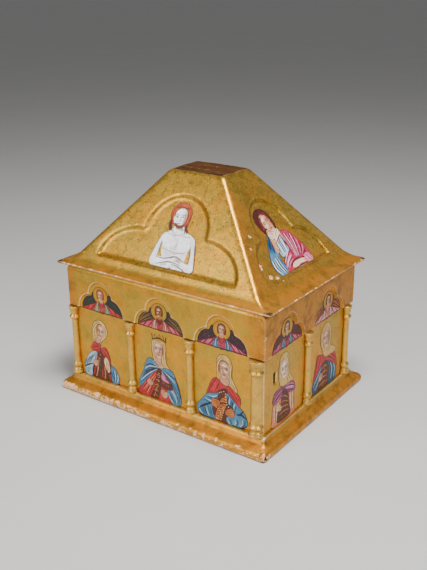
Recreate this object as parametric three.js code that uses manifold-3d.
// A gilded and painted reliquary casket: a moulded base board, an open case with an arcade round it,
// ten turned colonnettes under the arcade, and a hollow roof-shaped lid that lifts off.
// Millimetres, +Z up, +X along the long front, which faces -Y. The origin is under the middle of the base.
import * as THREE from 'three';
import { mergeVertices } from 'three/addons/utils/BufferGeometryUtils.js';
import Module from 'manifold-3d';

// The case above its base: the arcade's faces set the size, and the wall behind it is cut back.
const arcadeLength = 344;
const arcadeWidth = 247;
const wallSetBack = 4;
const wallThickness = 14;
const wallFoot = 24;
const caseTop = 200;
const rimBevelWidth = 4;
const rimBevelHeight = 8;

// The arcade's trefoil arches, measured from the level where they spring.
const springing = 134;
const archHalfWidth = 42.5;
const archCuspOut = 22;
const archCuspUp = 25;
const archRise = 47;
const archEdgeRound = 1.6;
const archCentresFront = [-109, -1, 103];
const archCentresSide = [-64, 48];

// The base board spreads past the arcade, further in front and behind than at the ends.
const baseSpreadEnds = 13;
const baseSpreadFront = 19.5;

// The colonnettes are half round, against the wall. The one at the near corner is stouter.
const shaftRadius = 5.4;
const stoutness = 3.2;
const colonnetteProud = 1.5;
const colonnetteGap = 0.3;
const colonnettesFront = [-165, -55, 51, 159];
const colonnettesBack = [-55, 51];
const colonnettesSide = [-9, 106];

// The small hole through the right-hand wall, shaped like a keyhole.
const holeAlong = -92;
const holeRound = 3.7;
const holeSlot = 2.7;
const holeTop = 103;
const holeFoot = 88;

// The lid: a thin edge that overhangs the arcade, a hollow sweep, and four slopes up to a flat top.
const lidOverhangEnds = 12;
const lidOverhangFront = 8.5;
const lidEdgeThickness = 3.5;
const slopeFootHalf = [161, 120.5];
const slopeFootHeight = 209;
const topHalf = [46, 33];
const topHeight = 338;
const roofThickness = 12;
const lidOpeningHalf = [148, 103.5];
const lidCeiling = 324;

// The sunk trefoil fields of the four slopes, measured up each slope from its foot.
const fieldSunk = 4;
const fieldEdgeRound = 4;
const fieldFront = { foot: 14, halfWidth: 119, cuspOut: 53, cuspUp: 67, rise: 122 };
const fieldEnd = { foot: 14, halfWidth: 81, cuspOut: 42, cuspUp: 71, rise: 127 };

const gold = { color: 0xc79a2e, roughness: 0.35, metalness: 0.9 };
const wornGold = { color: 0xb8822a, roughness: 0.45, metalness: 0.75 };

const wasm = await Module();
wasm.setup();

// A closed three.js geometry as a manifold solid, for joining and cutting.
function toSolid(geometry) {
  const bare = geometry.index ? geometry.toNonIndexed() : geometry.clone();
  bare.deleteAttribute('normal');
  bare.deleteAttribute('uv');
  const merged = mergeVertices(bare, 1e-4);
  const mesh = new wasm.Mesh({
    numProp: 3,
    vertProperties: new Float32Array(merged.attributes.position.array),
    triVerts: new Uint32Array(merged.index.array),
  });
  mesh.merge();
  return new wasm.Manifold(mesh);
}

// A manifold solid back as a three.js geometry.
function toGeometry(solid) {
  const mesh = solid.getMesh();
  const geometry = new THREE.BufferGeometry();
  geometry.setAttribute('position', new THREE.BufferAttribute(new Float32Array(mesh.vertProperties), 3));
  geometry.setIndex(new THREE.BufferAttribute(new Uint32Array(mesh.triVerts), 1));
  geometry.computeVertexNormals();
  return geometry;
}

// A solid skinned over level rectangles with rounded corners, from the lowest to the highest.
// Each section is a Vector3 of half length, half width and height.
function loft(sections, cornerRadius, cornerSteps) {
  const rings = sections.map((section) => {
    const shape = new THREE.Shape();
    const [x, y, r] = [section.x, section.y, cornerRadius];
    shape.absarc(x - r, -y + r, r, -Math.PI / 2, 0);
    shape.absarc(x - r, y - r, r, 0, Math.PI / 2);
    shape.absarc(-x + r, y - r, r, Math.PI / 2, Math.PI);
    shape.absarc(-x + r, -y + r, r, Math.PI, Math.PI * 1.5);
    return shape.curves
      .filter((curve) => curve.isEllipseCurve)
      .flatMap((arc) => arc.getPoints(cornerSteps))
      .map((point) => new THREE.Vector3(point.x, point.y, section.z));
  });
  const count = rings[0].length;
  const corners = rings.flat();
  const foot = corners.push(new THREE.Vector3(0, 0, sections[0].z)) - 1;
  const head = corners.push(new THREE.Vector3(0, 0, sections.at(-1).z)) - 1;
  const faces = [];
  for (let i = 0; i < count; i += 1) {
    const next = (i + 1) % count;
    faces.push(foot, next, i);
    for (let ring = 0; ring < rings.length - 1; ring += 1) {
      const low = ring * count;
      const high = low + count;
      faces.push(low + i, low + next, high + next, low + i, high + next, high + i);
    }
    const last = (rings.length - 1) * count;
    faces.push(head, last + i, last + next);
  }
  const geometry = new THREE.BufferGeometry().setFromPoints(corners);
  geometry.setIndex(faces);
  return geometry;
}

// A box between two corners.
function box(low, high) {
  const size = high.map((value, i) => value - low[i]);
  const middle = high.map((value, i) => (value + low[i]) / 2);
  return toSolid(new THREE.BoxGeometry(...size).translate(...middle));
}

// A trefoil outline on a straight foot: quarter-round side lobes up to the cusps and a round lobe between.
function trefoil({ foot, halfWidth, cuspOut, cuspUp, rise }, below = 0) {
  const shape = new THREE.Shape();
  const lobeWidth = halfWidth - cuspOut;
  const middleHeight = rise - cuspUp;
  shape.moveTo(-halfWidth, foot - below);
  shape.lineTo(halfWidth, foot - below);
  shape.absellipse(cuspOut, foot, lobeWidth, cuspUp - foot, 0, Math.PI / 2, false);
  shape.absellipse(0, cuspUp, cuspOut, middleHeight, 0, Math.PI, false);
  shape.absellipse(-cuspOut, foot, lobeWidth, cuspUp - foot, Math.PI / 2, Math.PI, false);
  return shape;
}

// A cutter for a sunk field: its floor lies at z = -depth, its sides curve out to the full outline, and
// it stands clear of the face by cutterClear.
const cutterClear = 15;
function fieldCutter(shape, depth, edgeRound, curveSegments) {
  const geometry = new THREE.ExtrudeGeometry(shape, {
    depth: cutterClear + depth,
    curveSegments,
    bevelEnabled: true,
    bevelThickness: depth,
    bevelSize: edgeRound,
    bevelOffset: -edgeRound,
    bevelSegments: 2,
  });
  const reach = arcadeLength;
  const slab = box([-reach, -reach, -depth], [reach, reach, cutterClear]);
  return toSolid(geometry).intersect(slab);
}

// Where a field lies: its foot line runs along the face, and its up direction climbs it.
function placeOnFace(solid, origin, along, up) {
  const outward = new THREE.Vector3().crossVectors(along, up);
  const matrix = new THREE.Matrix4().makeBasis(along, up, outward).setPosition(origin);
  const geometry = toGeometry(solid).applyMatrix4(matrix);
  geometry.deleteAttribute('normal');
  return toSolid(geometry);
}

// The four faces of the casket, each with its direction along, outward direction and half sizes.
const X = new THREE.Vector3(1, 0, 0);
const Y = new THREE.Vector3(0, 1, 0);
const Z = new THREE.Vector3(0, 0, 1);
const faces = {
  front: { along: X.clone(), outward: Y.clone().negate(), long: true },
  right: { along: Y.clone(), outward: X.clone(), long: false },
  back: { along: X.clone().negate(), outward: Y.clone(), long: true },
  left: { along: Y.clone().negate(), outward: X.clone().negate(), long: false },
};

const casket = new THREE.Group();

function addPiece(name, geometry, finish) {
  const mesh = new THREE.Mesh(geometry, new THREE.MeshStandardMaterial(finish));
  mesh.name = name;
  casket.add(mesh);
}

// Base board: one plank, flat above and below, with a hollow moulding and a rounded lip run round it.
// Each profile point is how far it reaches across the spread, from 0 at the arcade to 1, and its height.
function baseBoard() {
  const lip = new THREE.Path();
  lip.moveTo(0.93, 0);
  lip.quadraticCurveTo(1, 1.5, 1, 5);
  lip.quadraticCurveTo(0.99, 9.5, 0.7, 12.5);
  lip.lineTo(0.62, 12.8);
  lip.quadraticCurveTo(0.16, 14.5, 0.1, 21.5);
  lip.lineTo(0, wallFoot);
  const profile = lip.getPoints(4);
  const sections = profile.map(({ x: reach, y: height }) => new THREE.Vector3(
    arcadeLength / 2 + baseSpreadEnds * reach,
    arcadeWidth / 2 + baseSpreadFront * reach,
    height,
  ));
  return loft(sections, 3, 2);
}

// Case: four walls under one skin of gesso, open above and below, with the arcade standing proud of them.
function openCase() {
  const [armX, armY] = [arcadeLength / 2, arcadeWidth / 2];
  const [wallX, wallY] = [armX - wallSetBack, armY - wallSetBack];
  const walls = box([-wallX, -wallY, wallFoot], [wallX, wallY, springing + 1]);
  const arcade = toSolid(loft([
    new THREE.Vector3(armX, armY, springing),
    new THREE.Vector3(armX, armY, caseTop - rimBevelHeight),
    new THREE.Vector3(armX - rimBevelWidth, armY - rimBevelWidth, caseTop),
  ], 1, 1));
  const [innerX, innerY] = [wallX - wallThickness, wallY - wallThickness];
  const inside = box([-innerX, -innerY, wallFoot - 10], [innerX, innerY, caseTop + 10]);
  let solid = walls.add(arcade).subtract(inside);

  const arch = {
    foot: 0, halfWidth: archHalfWidth, cuspOut: archCuspOut, cuspUp: archCuspUp, rise: archRise,
  };
  const cutter = fieldCutter(trefoil(arch, 10), wallSetBack, archEdgeRound, 6);
  Object.values(faces).forEach(({ along, outward, long }) => {
    const reach = long ? armY : armX;
    const centres = long ? archCentresFront : archCentresSide;
    centres.forEach((centre) => {
      const origin = outward.clone().multiplyScalar(reach).addScaledVector(long ? X : Y, centre);
      origin.z = springing;
      solid = solid.subtract(placeOnFace(cutter, origin, along, Z));
    });
  });
  return toGeometry(solid.subtract(keyhole(wallX)));
}

// The keyhole-shaped cutter: a round head over a narrow slot, through the right-hand wall.
function keyhole(wallX) {
  const outline = new THREE.Shape();
  const shoulder = Math.asin(holeSlot / holeRound);
  outline.moveTo(-holeSlot, holeFoot);
  outline.lineTo(holeSlot, holeFoot);
  outline.absarc(0, holeTop, holeRound, -Math.PI / 2 + shoulder, Math.PI * 1.5 - shoulder, false);
  const depth = wallThickness * 3;
  const geometry = new THREE.ExtrudeGeometry(outline, { depth, curveSegments: 5, bevelEnabled: false });
  const origin = new THREE.Vector3(wallX - depth / 2, holeAlong, 0);
  return placeOnFace(toSolid(geometry), origin, Y, Z);
}

// Colonnette: turned on a lathe from its foot to its cap, then planed flat where it meets the wall.
// Every radius of a stout one is larger by the same amount.
function colonnette(stout) {
  const height = springing - wallFoot - colonnetteGap;
  const wide = (radius) => radius + stout;
  const outline = new THREE.Path();
  outline.moveTo(0, 0);
  outline.lineTo(wide(8.4), 0);
  outline.lineTo(wide(8.4), 3);
  outline.lineTo(wide(7), 4.2);
  outline.lineTo(wide(7.7), 6.2);
  outline.lineTo(wide(5.9), 8.6);
  outline.lineTo(wide(6.4), 10.6);
  outline.quadraticCurveTo(wide(10.6), 14, wide(6.4), 17.4);
  outline.lineTo(wide(shaftRadius), 19);
  outline.lineTo(wide(shaftRadius - 0.4), height - 21.5);
  outline.lineTo(wide(6.2), height - 20.2);
  outline.quadraticCurveTo(wide(10.4), height - 17, wide(6.2), height - 13.8);
  outline.lineTo(wide(5.6), height - 12);
  outline.lineTo(wide(7.2), height - 8.6);
  outline.lineTo(wide(6.6), height - 5.8);
  outline.lineTo(wide(8), height - 4);
  outline.lineTo(wide(8.2), height);
  outline.lineTo(0, height);
  const turned = new THREE.LatheGeometry(outline.getPoints(2), 14).rotateX(Math.PI / 2);
  const planed = box([-20, -20, -1], [20, colonnetteProud - colonnetteGap, height + 1]);
  return toGeometry(toSolid(turned).intersect(planed));
}

// One colonnette in front of a face, by its place along that face.
function addColonnette(name, face, place, stout = 0) {
  const { along, outward, long } = faces[face];
  const reach = (long ? arcadeWidth : arcadeLength) / 2 - wallSetBack + colonnetteProud;
  const spot = outward.clone().multiplyScalar(reach).addScaledVector(long ? X : Y, place);
  spot.z = wallFoot;
  const matrix = new THREE.Matrix4().makeBasis(along, outward.clone().negate(), Z).setPosition(spot);
  addPiece(name, colonnette(stout).applyMatrix4(matrix), gold);
}

// Lid: a hollow roof on a thin overhanging edge, with a trefoil field sunk in each slope.
function lid() {
  const edgeHalf = [arcadeLength / 2 + lidOverhangEnds, arcadeWidth / 2 + lidOverhangFront];
  const edgeTop = caseTop + lidEdgeThickness;
  const sweepTop = slopeFootHeight + lidEdgeThickness * 2;
  const slopeAt = (height, i) => {
    const share = (height - slopeFootHeight) / (topHeight - slopeFootHeight);
    return slopeFootHalf[i] + (topHalf[i] - slopeFootHalf[i]) * share;
  };
  const sweep = new THREE.QuadraticBezierCurve3(
    new THREE.Vector3(...edgeHalf, edgeTop),
    new THREE.Vector3(slopeAt(edgeTop + 2, 0), slopeAt(edgeTop + 2, 1), edgeTop + 1),
    new THREE.Vector3(slopeAt(sweepTop, 0), slopeAt(sweepTop, 1), sweepTop),
  );
  const outside = toSolid(loft([
    new THREE.Vector3(edgeHalf[0] - 1, edgeHalf[1] - 1, caseTop),
    ...sweep.getPoints(6),
    new THREE.Vector3(...topHalf, topHeight),
  ], 0.8, 1));

  // The inner slopes run parallel to the outer ones, one roof thickness in.
  const rise = topHeight - slopeFootHeight;
  const inset = [0, 1].map((i) => {
    const run = slopeFootHalf[i] - topHalf[i];
    return roofThickness * Math.hypot(rise, run) / rise;
  });
  const inner = (height) => new THREE.Vector3(
    slopeAt(height, 0) - inset[0],
    slopeAt(height, 1) - inset[1],
    height,
  );
  const hollow = toSolid(loft([inner(caseTop - 10), inner(lidCeiling)], 1, 1))
    .intersect(box([-lidOpeningHalf[0], -lidOpeningHalf[1], caseTop - 5], [...lidOpeningHalf, lidCeiling]));
  let solid = outside.subtract(hollow);

  Object.values(faces).forEach(({ along, outward, long }) => {
    const i = long ? 1 : 0;
    const run = slopeFootHalf[i] - topHalf[i];
    const up = outward.clone().multiplyScalar(-run).addScaledVector(Z, rise).normalize();
    const origin = outward.clone().multiplyScalar(slopeFootHalf[i]);
    origin.z = slopeFootHeight;
    const field = long ? fieldFront : fieldEnd;
    const cutter = fieldCutter(trefoil(field), fieldSunk, fieldEdgeRound, 8);
    solid = solid.subtract(placeOnFace(cutter, origin, along, up));
  });
  return toGeometry(solid);
}

addPiece('base_board', baseBoard(), wornGold);
addPiece('case', openCase(), gold);
const placeNames = ['outer_left', 'inner_left', 'inner_right', 'outer_right'];
colonnettesFront.forEach((place, i) => {
  const stout = placeNames[i] === 'outer_right' ? stoutness : 0;
  addColonnette(`colonnette_front_${placeNames[i]}`, 'front', place, stout);
});
colonnettesBack.forEach((place, i) => addColonnette(`colonnette_back_${placeNames[i + 1]}`, 'back', place));
['right', 'left'].forEach((face) => {
  colonnettesSide.forEach((place, i) => {
    addColonnette(`colonnette_${face}_${['middle', 'rear'][i]}`, face, place);
  });
});
addPiece('lid', lid(), gold);

export default casket;
